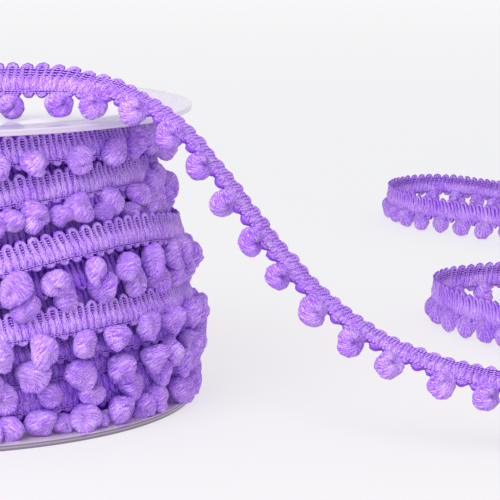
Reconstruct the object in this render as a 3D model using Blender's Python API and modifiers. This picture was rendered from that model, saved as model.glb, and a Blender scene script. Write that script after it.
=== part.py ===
"""Mini pompom fringe trim wound on a clear plastic reel, with its loose end run off the reel.

The reel stands on one flange.  The trim's loose end leaves the winding, crosses the upper
flange on its pompom edge, slides down to the table and runs away in two open bends.
Everything is laid out in millimetres about the reel's axis and moved at the end, so that
the origin is at the middle of the whole thing's base.
"""
import math

import bmesh
import bpy
import numpy as np
from mathutils import Vector

MM = 0.001

# Reel: two flat flanges and a straight barrel.
FLANGE_RADIUS = 63.2
FLANGE_THICKNESS = 1.4
FLANGE_EDGE = 0.3
REEL_HEIGHT = 69.3
BARREL_RADIUS = 16.0
SPINDLE_RADIUS = 14.0
REEL_STEPS = 64
FIT_GAP = 0.3

# Trim: a flat heading with one soft pompom to every third scallop.
HEADING_WIDTH = 6.5
HEADING_THICKNESS = 1.8
SCALLOP_PITCH = 3.2
SCALLOPS_PER_POMPOM = 3
LOOSE_END_POMPOMS = 86

# A pompom hangs straighter than the heading leans.
POMPOM_LEAN_SHARE = 0.62
# Pompom, as (depth below the heading, half size along the trim, half size across it).
POMPOM_RINGS = (
    (1.3, 2.4, 2.1),
    (3.7, 2.6, 2.3),
    (5.5, 1.5, 1.4),
)

# Winding: pompoms to one turn, and its rows from the upper flange to the lower one.
POMPOMS_PER_TURN = 38
VALLEY_SHARE = 0.4
# The turns ride up and down in waves: (how high, waves to one turn of the reel).
WAVES = ((1.6, 4), (0.9, 3))
WAVE_DROP = 1.3
WAVE_CREST = math.radians(-36.0)
BULGE = 4.0
BULGE_SHARPNESS = 4
# (height, radius, how far each pompom swells, share of the wave, share of the bulge)
WINDING_ROWS = (
    (67.2, 54.5, 0.0, 0.0, 0.0),
    (66.6, 57.0, 0.0, 0.0, 0.0),
    (63.6, 57.2, 0.0, 0.1, 0.0),
    (61.2, 57.0, 1.4, 0.2, 0.0),
    (58.8, 55.4, 0.0, 0.4, 0.0),
    (57.0, 56.8, 0.0, 0.5, 0.0),
    (51.8, 57.0, 1.6, 0.6, 0.0),
    (48.0, 56.6, 0.0, 0.8, 0.2),
    (45.6, 60.4, 0.0, 1.0, 0.1),
    (41.2, 60.6, 0.0, 1.0, 0.2),
    (37.4, 61.6, 2.0, 1.0, 0.5),
    (33.0, 58.6, 0.0, 0.7, 0.6),
    (29.6, 60.4, 0.0, 0.4, 0.3),
    (25.0, 60.6, 0.0, 0.4, 0.3),
    (21.4, 61.2, 2.0, 0.4, 0.7),
    (18.0, 58.4, 0.0, 0.3, 0.9),
    (14.4, 59.0, 1.8, 0.3, 1.0),
    (11.2, 57.4, 0.0, 0.2, 1.0),
    (8.8, 58.2, 0.0, 0.1, 1.0),
    (4.8, 57.8, 1.8, 0.0, 1.0),
    (2.0, 56.5, 0.0, 0.0, 0.6),
)

# Loose end: the middle of its heading from the winding to the cut end.
# (x, y, height, how far the heading's top edge leans over, in degrees)
ROUTE_SAMPLES_PER_POINT = 40
LOOSE_END = (
    (-30.9, 55.4, 55.0, 0.0),
    (-53.6, 37.5, 57.8, 0.0),
    (-64.4, 23.4, 61.6, 0.0),
    (-69.7, 6.1, 67.2, 0.0),
    (-68.9, -12.2, 74.0, 0.0),
    (-62.1, -26.4, 80.2, 0.0),
    (-48.0, -36.4, 81.0, 0.0),
    (-28.0, -39.4, 79.6, 0.0),
    (-8.0, -38.6, 78.7, 0.0),
    (8.0, -38.0, 78.5, 0.0),
    (24.3, -38.2, 78.5, 4.0),
    (37.5, -40.0, 78.1, 30.0),
    (49.5, -43.4, 75.6, 62.0),
    (59.8, -46.8, 70.2, 76.0),
    (68.4, -49.3, 61.6, 79.0),
    (76.2, -51.3, 51.4, 74.0),
    (84.2, -53.1, 41.2, 70.0),
    (93.2, -55.1, 32.0, 71.0),
    (104.0, -57.4, 24.5, 71.0),
    (116.2, -59.6, 19.4, 65.0),
    (129.0, -60.4, 16.2, 52.0),
    (141.5, -57.6, 13.2, 32.0),
    (152.0, -48.6, 10.6, 12.0),
    (159.0, -36.0, 9.0, 2.0),
    (162.0, -20.0, 8.8, 0.0),
    (160.6, -2.0, 8.8, 0.0),
    (156.4, 16.0, 8.8, 0.0),
    (149.0, 36.0, 8.8, 0.0),
    (141.0, 54.0, 8.8, 0.0),
    (133.4, 69.0, 8.8, 0.0),
    (128.4, 84.0, 8.8, 0.0),
    (127.8, 98.0, 8.8, 0.0),
    (132.6, 110.0, 8.8, 0.0),
    (144.0, 117.6, 8.8, 0.0),
    (160.0, 123.0, 8.8, 0.0),
    (174.0, 132.0, 8.8, 0.0),
    (184.0, 147.0, 8.8, 0.0),
    (188.0, 166.0, 8.8, 0.0),
    (184.6, 188.0, 8.8, 0.0),
    (175.6, 209.0, 8.8, 0.0),
    (163.0, 228.6, 8.8, 0.0),
    (148.6, 243.6, 8.8, 0.0),
    (136.6, 257.0, 8.8, 0.0),
    (129.2, 272.0, 8.8, 0.0),
    (126.0, 287.0, 8.8, 0.0),
    (127.4, 301.0, 8.8, 0.0),
    (134.0, 312.6, 8.8, 0.0),
    (145.0, 317.0, 8.8, 0.0),
    (156.6, 308.0, 8.8, 0.0),
    (166.0, 296.0, 8.8, 0.0),
    (175.6, 284.0, 8.8, 0.0),
    (186.0, 275.0, 8.8, 0.0),
)

# Finishes, as (colour, roughness, alpha).
CLEAR_POLYSTYRENE = ((0.86, 0.87, 0.92), 0.12, 0.4)
LILAC_YARN_WOUND = ((0.42, 0.25, 0.82), 0.9, 1.0)
LILAC_YARN_LOOSE = ((0.5, 0.32, 0.9), 0.9, 1.0)


def clear_scene():
    """Remove what a new file starts with."""
    for thing in list(bpy.data.objects):
        bpy.data.objects.remove(thing)


def make_material(name, finish):
    """One plain finish for one piece."""
    colour, roughness, alpha = finish
    material = bpy.data.materials.new(name)
    material.use_nodes = True
    shader = material.node_tree.nodes["Principled BSDF"]
    shader.inputs["Base Color"].default_value = (*colour, 1.0)
    shader.inputs["Roughness"].default_value = roughness
    shader.inputs["Metallic"].default_value = 0.0
    shader.inputs["Alpha"].default_value = alpha
    return material


def add_piece(name, mesh, material, collection, root):
    """Put one sub-part in the model's collection, under its root."""
    piece = bpy.data.objects.new(name, mesh)
    piece.data.materials.append(material)
    piece.parent = root
    collection.objects.link(piece)
    return piece


def turned_piece(name, outline, material, collection, root):
    """A ring turned about the reel's axis from a closed outline of (radius, height)."""
    mesh = bpy.data.meshes.new(name)
    points = [(radius * MM, 0.0, height * MM) for radius, height in outline]
    edges = [(i, (i + 1) % len(points)) for i in range(len(points))]
    mesh.from_pydata(points, edges, [])
    piece = add_piece(name, mesh, material, collection, root)
    screw = piece.modifiers.new("Turn", "SCREW")
    screw.steps = REEL_STEPS
    screw.render_steps = REEL_STEPS
    screw.use_merge_vertices = True
    screw.merge_threshold = 0.00001
    screw.use_smooth_shade = False
    return piece


def flange_outline(low):
    """Outline of a flange whose underside is at the height low."""
    high = low + FLANGE_THICKNESS
    return (
        (SPINDLE_RADIUS, high),
        (FLANGE_RADIUS - FLANGE_EDGE, high),
        (FLANGE_RADIUS, high - FLANGE_EDGE),
        (FLANGE_RADIUS, low + FLANGE_EDGE),
        (FLANGE_RADIUS - FLANGE_EDGE, low),
        (SPINDLE_RADIUS, low),
    )


def barrel_outline():
    """Outline of the straight tube between the two flanges."""
    low = FLANGE_THICKNESS + FIT_GAP
    high = REEL_HEIGHT - FLANGE_THICKNESS - FIT_GAP
    return (
        (BARREL_RADIUS, high),
        (BARREL_RADIUS, low),
        (SPINDLE_RADIUS, low),
        (SPINDLE_RADIUS, high),
    )


def winding_wave(angle):
    """How far a turn of the winding rides up or down at an angle about the axis."""
    turn = angle - WAVE_CREST
    return sum(height * math.cos(count * turn) for height, count in WAVES) - WAVE_DROP


def winding_bulge(angle):
    """How far the lower turns stand out on the side that has slackened."""
    return BULGE * max(0.0, math.cos(angle)) ** BULGE_SHARPNESS


def winding_mesh():
    """The wound trim as one ring, its turns and pompoms raised on the outer side."""
    columns = 2 * POMPOMS_PER_TURN
    inner = BARREL_RADIUS + FIT_GAP
    shape = bmesh.new()
    rows = []
    swelling_rows = 0
    for height, radius, swell, wave_share, bulge_share in WINDING_ROWS:
        if swell:
            swelling_rows += 1
        row = []
        for column in range(columns):
            angle = 2.0 * math.pi * column / columns
            peak = (column + swelling_rows) % 2 == 0
            reach = radius + (swell if peak else -VALLEY_SHARE * swell)
            reach += bulge_share * winding_bulge(angle)
            level = height + wave_share * winding_wave(angle)
            place = (reach * math.cos(angle) * MM, reach * math.sin(angle) * MM, level * MM)
            row.append(shape.verts.new(place))
        rows.append(row)
    for height in (WINDING_ROWS[-1][0], WINDING_ROWS[0][0]):
        row = []
        for column in range(columns):
            angle = 2.0 * math.pi * column / columns
            place = (inner * math.cos(angle) * MM, inner * math.sin(angle) * MM, height * MM)
            row.append(shape.verts.new(place))
        rows.append(row)
    for i, row in enumerate(rows):
        below = rows[(i + 1) % len(rows)]
        for column in range(columns):
            beside = (column + 1) % columns
            shape.faces.new((row[column], below[column], below[beside], row[beside]))
    return finish_mesh(shape, "wound_trim")


def finish_mesh(shape, name):
    """Turn the faces outward and hand over the mesh."""
    bmesh.ops.recalc_face_normals(shape, faces=shape.faces)
    mesh = bpy.data.meshes.new(name)
    shape.to_mesh(mesh)
    shape.free()
    return mesh


def even_route(table, step, count):
    """Places and leans every step along a smooth curve through a table."""
    table = np.array(table)
    chords = np.linalg.norm(np.diff(table[:, :3], axis=0), axis=1)
    knots = np.concatenate(([0.0], np.cumsum(chords)))
    slopes = np.gradient(table, knots, axis=0)
    fine = np.linspace(0.0, knots[-1], ROUTE_SAMPLES_PER_POINT * len(table))
    span = np.clip(np.searchsorted(knots, fine, side="right") - 1, 0, len(knots) - 2)
    width = (knots[span + 1] - knots[span])[:, None]
    t = (fine - knots[span])[:, None] / width
    curve = (
        (2.0 * t**3 - 3.0 * t**2 + 1.0) * table[span]
        + (t**3 - 2.0 * t**2 + t) * width * slopes[span]
        + (3.0 * t**2 - 2.0 * t**3) * table[span + 1]
        + (t**3 - t**2) * width * slopes[span + 1]
    )
    lengths = np.linalg.norm(np.diff(curve[:, :3], axis=0), axis=1)
    along = np.concatenate(([0.0], np.cumsum(lengths)))
    stations = step * np.arange(count)
    if stations[-1] > along[-1]:
        raise ValueError("the loose end is longer than its route")
    return np.stack([np.interp(stations, along, column) for column in curve.T], axis=1)


def cross_frame(places, i, lean_share=1.0):
    """Along, up and across directions of the heading, or a pompom, at station i."""
    ahead = Vector(places[min(i + 1, len(places) - 1)][:3])
    behind = Vector(places[max(i - 1, 0)][:3])
    along = (ahead - behind).normalized()
    upright = (Vector((0.0, 0.0, 1.0)) - along.z * along).normalized()
    level = Vector((0.0, 0.0, 1.0)).cross(along).normalized()
    lean = math.radians(places[i][3]) * lean_share
    up = math.cos(lean) * upright + math.sin(lean) * level
    across = along.cross(up)
    return along, up, across


def loose_end_mesh():
    """The heading as a lofted strip, with a four-sided pompom grown from every third span."""
    spans = SCALLOPS_PER_POMPOM * LOOSE_END_POMPOMS
    places = even_route(LOOSE_END, SCALLOP_PITCH, spans + 1)
    half_width = HEADING_WIDTH / 2.0
    half_thickness = HEADING_THICKNESS / 2.0
    shape = bmesh.new()
    sections = []
    for i, place in enumerate(places):
        middle = Vector(place[:3])
        _, up, across = cross_frame(places, i)
        section = []
        for side, edge in ((1, 1), (-1, 1), (-1, -1), (1, -1)):
            corner = middle + side * half_thickness * across + edge * half_width * up
            section.append(shape.verts.new(corner * MM))
        sections.append(section)
    for i in range(spans):
        near, far = sections[i], sections[i + 1]
        for corner in range(4):
            beside = (corner + 1) % 4
            lower_edge = corner == 2
            if lower_edge and i % SCALLOPS_PER_POMPOM == 1:
                root = (near[2], near[3], far[3], far[2])
                add_pompom(shape, root, places, i)
            else:
                shape.faces.new((near[corner], near[beside], far[beside], far[corner]))
    shape.faces.new(sections[0])
    shape.faces.new(sections[-1])
    return finish_mesh(shape, "loose_end")


def add_pompom(shape, root, places, i):
    """Grow one pompom down from the four root points between stations i and i + 1."""
    _, heading_up, _ = cross_frame(places, i)
    middle = (Vector(places[i][:3]) + Vector(places[i + 1][:3])) / 2.0
    foot = middle - HEADING_WIDTH / 2.0 * heading_up
    along, up, across = cross_frame(places, i, POMPOM_LEAN_SHARE)
    ring = root
    for depth, half_length, half_depth in POMPOM_RINGS:
        below = []
        for ahead, side in ((-1, -1), (-1, 1), (1, 1), (1, -1)):
            corner = foot - depth * up + ahead * half_length * along + side * half_depth * across
            below.append(shape.verts.new(corner * MM))
        for k in range(4):
            beside = (k + 1) % 4
            shape.faces.new((ring[k], ring[beside], below[beside], below[k]))
        ring = below
    shape.faces.new(ring)


def centre_on_base(root, pieces):
    """Move the root so that the origin is under the middle of all the pieces."""
    bpy.context.view_layer.update()
    graph = bpy.context.evaluated_depsgraph_get()
    corners = []
    for piece in pieces:
        for corner in piece.evaluated_get(graph).bound_box:
            corners.append(piece.matrix_world @ Vector(corner))
    for axis in (0, 1):
        low = min(corner[axis] for corner in corners)
        high = max(corner[axis] for corner in corners)
        root.location[axis] = -(low + high) / 2.0
    bpy.context.view_layer.update()


def main():
    clear_scene()
    collection = bpy.data.collections.new("pompom_trim_on_reel")
    bpy.context.scene.collection.children.link(collection)
    root = bpy.data.objects.new("trim_and_reel", None)
    collection.objects.link(root)
    lower_plastic = make_material("clear_polystyrene_lower", CLEAR_POLYSTYRENE)
    upper_plastic = make_material("clear_polystyrene_upper", CLEAR_POLYSTYRENE)
    barrel_plastic = make_material("clear_polystyrene_barrel", CLEAR_POLYSTYRENE)
    wound_yarn = make_material("lilac_yarn_wound", LILAC_YARN_WOUND)
    loose_yarn = make_material("lilac_yarn_loose", LILAC_YARN_LOOSE)
    upper_low = REEL_HEIGHT - FLANGE_THICKNESS
    pieces = [
        turned_piece("reel_lower_flange", flange_outline(0.0), lower_plastic, collection, root),
        turned_piece("reel_upper_flange", flange_outline(upper_low), upper_plastic, collection, root),
        turned_piece("reel_barrel", barrel_outline(), barrel_plastic, collection, root),
        add_piece("wound_trim", winding_mesh(), wound_yarn, collection, root),
        add_piece("loose_end", loose_end_mesh(), loose_yarn, collection, root),
    ]
    centre_on_base(root, pieces)


if __name__ == "__main__":
    main()
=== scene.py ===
"""Looks of a mini pompom fringe trim on its clear plastic reel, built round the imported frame.

One soft lilac yarn runs up and down across the heading, fine chain threads hold its turns, and
every third lower turn is left long and fluffed up as a pompom.  The trim is wound on the reel in
one run of turns, and its loose end leaves the last turn.  Places along the trim are given as
(along it, depth below its top edge, out from its middle), in millimetres, and a route carries
them to their place on the reel or on the table.
"""

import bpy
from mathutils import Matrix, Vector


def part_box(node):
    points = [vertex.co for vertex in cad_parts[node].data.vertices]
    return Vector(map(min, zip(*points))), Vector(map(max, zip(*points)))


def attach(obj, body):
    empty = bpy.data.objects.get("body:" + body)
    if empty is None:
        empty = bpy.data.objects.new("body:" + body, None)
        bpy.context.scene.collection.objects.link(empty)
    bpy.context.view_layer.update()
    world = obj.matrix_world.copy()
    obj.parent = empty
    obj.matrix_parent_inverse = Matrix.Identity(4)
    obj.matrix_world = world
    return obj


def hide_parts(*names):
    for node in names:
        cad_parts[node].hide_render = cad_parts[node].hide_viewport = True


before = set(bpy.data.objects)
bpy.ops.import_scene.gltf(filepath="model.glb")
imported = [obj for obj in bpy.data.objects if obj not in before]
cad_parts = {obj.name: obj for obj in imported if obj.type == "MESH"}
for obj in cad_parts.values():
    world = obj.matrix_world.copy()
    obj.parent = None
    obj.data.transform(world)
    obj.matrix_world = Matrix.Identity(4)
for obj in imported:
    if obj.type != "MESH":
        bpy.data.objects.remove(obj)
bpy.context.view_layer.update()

import math
from collections import namedtuple

import bpy
import numpy as np
from mathutils import Matrix, Vector

bl_info = {
    "name": "Pompom Trim on a Reel",
    "version": (1, 0, 0),
    "blender": (4, 5, 0),
    "location": "View3D > Sidebar > Pompom Trim",
    "description": "Builds a pompom fringe trim wound on a clear reel, with its loose end",
    "category": "Object",
}

MM = 0.001
BODY = "root"

# Reel, from the frame.
LOWER_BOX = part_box("reel_lower_flange")
UPPER_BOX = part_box("reel_upper_flange")
BARREL_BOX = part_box("reel_barrel")
AXIS = (LOWER_BOX[0] + LOWER_BOX[1]) / 2.0
FLANGE_RADIUS = (LOWER_BOX[1].x - LOWER_BOX[0].x) / 2.0
FLANGE_THICKNESS = LOWER_BOX[1].z - LOWER_BOX[0].z
BARREL_RADIUS = (BARREL_BOX[1].x - BARREL_BOX[0].x) / 2.0
BARREL_WALL = 2.0 * MM
REEL_STEPS = 192
CORE_STEPS = 96
EDGE_ARC_POINTS = 5
# Breadth of the clearer ring along the rim of each flange, and how far the rim is rounded
RIM_RING = 9.0 * MM
RIM_ROUNDING = 0.3 * MM
CREASE_ANGLE = math.radians(40.0)

# Trim, in millimetres.
HEADING_WIDTH = 6.5
SCALLOPS_PER_POMPOM = 3
# Half of one scallop of the yarn at the usual pitch, from the lower turn to the upper one:
# (along, depth, half breadth, half thickness)
USUAL_PITCH = 3.2
SCALLOP_HALF = (
    (0.00, 6.95, 0.58, 0.74),
    (0.42, 6.84, 0.60, 0.72),
    (0.76, 6.48, 0.64, 0.56),
    (0.80, 6.02, 0.84, 0.46),
    (0.80, 5.50, 1.10, 0.82),
    (0.80, 4.70, 1.18, 1.02),
    (0.80, 3.80, 1.14, 0.98),
    (0.78, 3.10, 0.92, 0.74),
    (0.74, 2.40, 0.70, 0.56),
    (0.71, 1.60, 0.62, 0.52),
    (0.72, 0.98, 0.59, 0.52),
    (0.96, 0.48, 0.57, 0.54),
    (1.60, 0.22, 0.56, 0.56),
)
# Sides of the yarn's mesh, in sight and under the outer turns
YARN_SIDES = 6
COARSE_YARN_SIDES = 5
# The upper loops begin above this depth and the lower turns below this one: (depth, over)
UPPER_LOOP = (3.0, 2.5)
LOWER_TURN = (6.2, 0.8)
# How uneven they are: heights of the loops and of the lower turns, places along, thickness
UNEVEN_LOOPS = 0.10
UNEVEN_TURNS = 0.15
UNEVEN_PLACES = 0.05
UNEVEN_YARN = 0.05
# Chain threads: (depth, how far out they lie over a leg of the yarn in the loose end, the same in
# the turns)
CHAIN_ROWS = (
    (1.20, 0.58, 0.32), (1.76, 0.56, 0.30), (2.36, 0.58, 0.34), (2.92, 0.66, 0.46),
    (5.98, 0.58, 0.54), (6.42, 0.66, 0.62),
)
# Points of a chain's mesh for each scallop, and its sides
CHAIN_SAMPLES = 4
CHAIN_SIDES = 3
# How far out they lie between two legs, in the loose end and in the turns
SUNK_REACHES = (0.46, 0.34)
# How far the chains stray up and down: (reach, length)
CHAIN_SWAY = (0.08, 7.0)
# Usual lean of the ribs, against the rib slant, and the depth that stays put
WOUND_LEAN = 0.5
LOOSE_LEAN = -1.2
LEAN_DEPTH = 3.6
# How the lean changes and how the heading waves in and out: (reach, length)
LEAN_CHANGE = (0.6, 60.0)
HEADING_WAVE = (0.12, 11.0)
# How far the top edge of the wound turns leans in
TURN_LEAN = math.radians(10.0)
# Breadth of the yarn in the loose end, beside the pressed yarn of the turns
LOOSE_FULLNESS = 1.1
# Ground of the heading, under the yarn: (depth, half thickness)
GROUND_EDGE = ((1.0, 0.12), (2.8, 0.15), (3.6, 0.40), (6.3, 0.2))
GROUND_STEP = 3.2
# Seeds of what is uneven; each turn adds its number
TURN_SEED = 10
LOOSE_SEED = 30
TURN_POMPOM_SEED = 40
LOOSE_POMPOM_SEED = 31
TOP_SEED = 5
RADIUS_SEED = 6
CHAIN_SEED = 10
# Waves that make up an uneven run, against its length, and their usual sum
OCTAVES = (0.61, 1.0, 1.73)
USUAL_SUM = 2.2
# Directions in trim coordinates
OUTWARD = np.array((0.0, 0.0, 1.0))
DOWNWARD = np.array((0.0, 1.0, 0.0))

# Pompom: filaments tied at a pinch, fanned out over a round belly and gathered at the heading.
POMPOM_HALF_SIZES = (2.95, 2.95, 2.5)
# Rows and sides of a pompom's mesh, in sight and under the outer turns
POMPOM_FINENESS = (16, 24)
UNDER_FINENESS = (12, 18)
# Depth of the middle of a loose pompom, and length of its filaments
POMPOM_DEPTH = 8.9
POMPOM_RUN = 9.0
# The two kinds of pompom, hanging free and pressed between the turns.  Directions are given as
# (along, up, out), and each change is how much that value differs from one pompom to the next.
# One fold runs from the pinch over the belly and one over the back.
PompomKind = namedtuple("PompomKind", (
    "pressed", "size", "pinch", "pinch_change", "pinch_reach", "root_change", "belly",
    "belly_change", "belly_fold", "back_out", "back_fold", "fold_width", "lump", "roughness",
    "tilt", "twist"))
LOOSE_POMPOM = PompomKind(
    pressed=0.0, size=1.06, pinch=(0.73, 0.30, 0.60), pinch_change=0.08, pinch_reach=-0.38,
    root_change=0.15, belly=(-0.10, -0.55, 0.83), belly_change=0.08, belly_fold=0.42,
    back_out=0.0, back_fold=0.14, fold_width=0.22, lump=0.05, roughness=0.012, tilt=10.0,
    twist=6.0)
WOUND_POMPOM = PompomKind(
    pressed=1.0, size=1.12, pinch=(0.50, -0.70, 0.45), pinch_change=0.22, pinch_reach=0.20,
    root_change=0.35, belly=(-0.50, 0.10, 0.85), belly_change=0.38, belly_fold=0.38,
    back_out=1.2, back_fold=0.28, fold_width=0.27, lump=0.095, roughness=0.02, tilt=26.0,
    twist=20.0)
# How far out the root points, against up, and how much that changes
ROOT_OUT = -0.45
ROOT_OUT_CHANGE = 0.15
# Breadth of the tip at the pinch, how soon a fold starts and how far round it fades
PINCH_BREADTH = 0.45
FOLD_START = 0.4
FOLD_FADE = 2.2
# Waves round the belly, as many in one turn, and their height; lumps, as many and as close
BELLY_WAVES = (5, 7, 9, 11)
BELLY_WAVE = 0.010
LUMPS = 3
LUMP_CLOSENESS = 3.0
# The waves and lumps start anywhere from 0 to this, in radians
PHASES = 6.0
# How much narrower a pressed pompom can be at its foot than at its top
TAPER = (-0.05, 0.32)
# How far a pressed pompom strays from its place: up or down if it has a nudge, the same if it
# has none, and in or out
STRAY_NUDGED = 0.2
STRAY = 0.5
STRAY_OUT = 0.4
FACING_AWAY_SHARE = 0.25
# How the sizes differ: in each direction, all round, and where a pressed pompom has no nudge
SIZE_RANGE = (0.95, 1.05)
SIZE_CHANGE = 0.02
UNNUDGED_GROWTH = 0.05
TALLER = (-1.0, 3.0)
# How far a pompom hangs from its own place, and its share of the usual size:
# (along, up, wide, high)
NO_NUDGE = (0.0, 0.0, 1.0, 1.0)
LOOSE_NUDGE = (-1.0, 0.5, 1.0, 1.0)
LOOSE_NUDGES = {
    20: (-3.0, -0.5, 0.95, 0.95), 21: (-1.0, 0.0, 1.00, 1.00), 22: (-2.0, 0.5, 1.15, 1.05),
    23: (-1.5, 1.5, 1.15, 1.10), 24: (-1.0, 1.0, 1.00, 1.10), 25: (-1.5, 1.0, 0.95, 1.00),
    26: (-1.5, 0.5, 1.00, 1.05), 27: (-1.0, 0.5, 1.00, 1.00), 28: (-1.5, 0.5, 1.00, 0.95),
    29: (-1.0, 0.5, 1.10, 1.00), 30: (-0.5, 0.0, 1.05, 1.00), 31: (-1.0, 0.0, 1.00, 1.00),
    32: (0.5, 0.5, 1.05, 1.00), 33: (0.0, 0.5, 1.00, 1.00),
}
# The same for the turns, by the pompom's number in its turn.
TURN_NUDGES = {
    "turn_1": {
        18: (-1.0, 0.0, 0.95, 1.00), 19: (-1.5, 0.5, 1.05, 1.10), 20: (0.5, 0.0, 0.95, 0.90),
        21: (1.0, 1.0, 0.95, 0.90), 22: (1.0, 2.5, 0.70, 0.95), 23: (-0.5, 2.0, 0.60, 0.90),
    },
    "turn_2": {
        18: (-1.0, -1.5, 0.95, 0.95), 19: (-1.0, -1.0, 1.00, 1.00), 20: (0.5, -0.5, 0.95, 1.10),
        21: (2.0, 0.0, 0.90, 1.05), 22: (3.5, 0.0, 0.80, 1.05), 23: (4.5, 1.0, 0.80, 1.00),
        24: (-0.5, 2.5, 0.85, 1.10),
    },
    "under_turn_1": {
        19: (-4.0, 1.5, 0.90, 0.90), 20: (-1.5, 0.5, 0.90, 0.70), 21: (1.5, -0.5, 0.80, 0.70),
        22: (3.0, -1.0, 0.70, 0.65),
    },
    "turn_3": {
        18: (-0.5, -0.5, 1.00, 1.15), 19: (-0.5, -1.0, 1.05, 0.95), 20: (0.0, -0.5, 1.00, 1.10),
        21: (-0.5, -1.0, 0.90, 1.00), 22: (0.0, -1.0, 0.85, 1.00), 23: (1.5, 0.0, 0.75, 1.05),
    },
    "turn_4": {
        18: (-0.5, 0.5, 1.00, 1.15), 19: (-0.5, -0.5, 1.05, 1.10), 20: (-0.5, -0.5, 1.05, 1.05),
        21: (-0.5, -0.5, 1.05, 0.95), 22: (-0.5, 0.0, 1.00, 1.05), 23: (-1.5, 0.5, 0.85, 0.95),
    },
    "turn_5": {
        18: (-3.0, -0.5, 1.05, 1.05), 19: (-3.0, -0.5, 1.15, 1.05), 20: (-1.0, -1.5, 1.15, 1.00),
        21: (0.5, -1.5, 1.05, 1.00), 22: (1.0, -1.0, 1.00, 1.05), 23: (-0.5, -0.5, 0.90, 1.10),
    },
    "turn_6": {
        18: (-2.0, 1.0, 0.95, 0.90), 19: (-0.5, -0.5, 0.95, 0.90), 20: (0.0, -1.5, 1.05, 0.85),
        21: (2.5, -2.0, 1.05, 0.90), 22: (3.0, -0.5, 1.00, 1.00), 23: (2.5, 0.5, 0.85, 1.00),
    },
    "turn_7": {
        18: (0.0, -0.5, 0.95, 0.95), 19: (0.0, 1.0, 1.20, 1.05), 20: (1.0, 0.0, 1.15, 1.00),
        21: (2.5, 0.0, 1.90, 1.15), 22: (4.5, 1.0, 1.00, 0.95), 23: (4.5, 1.5, 0.85, 1.00),
    },
    "under_turn_3": {
        18: (-4.0, 0.0, 0.80, 0.95), 19: (-1.0, -1.0, 0.80, 0.75), 20: (0.0, -1.5, 0.70, 0.75),
        21: (3.0, -0.5, 1.00, 1.00),
    },
}
# The hole left at each pole of a pompom's filaments, in radians
POLE_GAP = 0.12
# Pompoms are pressed flat where they rest on the table, this high
TABLE_GAP = 0.05
# Fibres of the yarn: how many filament lines show in a millimetre along the yarn and in all
# round it, grains the same for the curled fibre ends, how strongly the lines show beside the
# grains, how dark the yarn's sides are drawn, as painted shade in the grooves between its legs,
# how much of the noise lies between the shade and the light, and how much lighter the yarn is
# drawn, which is lowered as painted shade for the turns deep in the winding
Fibres = namedtuple("Fibres", ("lines", "grains", "streaks", "flank_shade", "tones", "shift"))
HEADING_FIBRES = Fibres((0.60, 24.0), (3.6, 28.0), 0.9, 0.26, 0.15, 0.02)
LOOSE_HEADING_FIBRES = Fibres((0.60, 24.0), (3.6, 28.0), 0.9, 0.34, 0.15, -0.02)
# Painted shade: the turns behind the pompoms take this darker copy of the heading's yarn
SHADED_FIBRES = Fibres((0.60, 24.0), (3.6, 28.0), 0.9, 0.26, 0.16, -0.07)
LOOSE_POMPOM_FIBRES = Fibres((0.42, 62.0), (2.6, 84.0), 1.3, 0.0, 0.12, -0.03)
WOUND_POMPOM_FIBRES = Fibres((4.4, 8.0), (5.0, 60.0), 1.3, 0.0, 0.16, 0.0)
# Share of the broad patches beside the grains, how far apart they are, and how far apart the
# threads of the ground are
PATCHES = 0.3
PATCH_SPACING = 6.25 * MM
GROUND_SPACING = 0.4 * MM
# Weight of the painted shade at the ends of each chain stitch against the painted shade on the
# thread's flanks
STITCH_SHARE = 0.4

# Winding, about the reel's axis.  The turns follow each other in this order: name, height of
# the top edge, radius, shares of the waves and of the bulge, depth of the pompoms and how far
# out they hang, where one pompom falls in degrees, which rows of SCALLOP_HALF the yarn keeps
# (2 is every other one), and whether the pompoms show
Turn = namedtuple("Turn", ("name", "top", "radius", "wave", "bulge", "pompom_depth", "pompom_out",
                           "pompom_at", "skip", "has_pompoms"))
TURNS = tuple(Turn(*row) for row in (
    ("hidden_turn_3", 25.0, 54.6, 0.4, 0.6, 0.0, 0.0, -52.0, 2, False),
    ("hidden_turn_2", 34.6, 56.0, 0.6, 0.4, 0.0, 0.0, -47.0, 2, False),
    ("hidden_turn_1", 61.5, 54.2, 0.4, -0.4, 0.0, 0.0, -50.0, 2, False),
    ("hidden_turn_4", 51.0, 55.4, 0.6, -0.4, 0.0, 0.0, -50.0, 2, False),
    ("under_turn_3", 15.2, 56.2, 0.1, 0.9, 11.6, 1.4, -52.0, 2, True),
    ("under_turn_2", 39.0, 57.4, 0.8, 0.5, 7.4, 1.2, -52.2, 2, True),
    ("under_turn_1", 57.0, 55.8, 0.6, -0.5, 8.4, 1.6, -50.5, 1, True),
    ("turn_7", 12.6, 56.2, 0.1, 0.9, 8.8, 2.2, -49.0, 1, True),
    ("turn_6", 19.5, 56.0, 0.3, 1.0, 8.8, 2.4, -46.0, 1, True),
    ("turn_5", 23.8, 57.2, 0.3, 0.9, 8.6, 2.8, -48.5, 1, True),
    ("turn_4", 29.9, 60.4, 0.4, 0.4, 8.6, 1.2, -49.0, 1, True),
    ("turn_3", 46.3, 60.0, 1.0, 0.0, 9.6, 1.2, -46.0, 1, True),
    ("turn_1", 67.4, 56.6, 0.2, -0.5, 6.8, 1.8, -47.5, 1, True),
    ("turn_2", 59.2, 56.8, 0.5, -0.6, 8.4, 1.2, -48.0, 1, True),
))
# Turns whose heading lies outside the pompoms of the others; the headings of the others are drawn
# darker, as painted shade
OUTER_TURNS = ("turn_1", "turn_2", "turn_3", "turn_4")
POMPOMS_PER_TURN = 38
WINDING_START = math.radians(119.15)
# Pompoms over which one turn climbs to the next
CROSSOVER = 5.5
# Waves of the top edges as (height, how many in a turn), and where they all crest
WAVES = ((1.6, 4), (0.9, 3))
WAVE_DROP = 1.3
WAVE_CREST = math.radians(-36.0)
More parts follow.
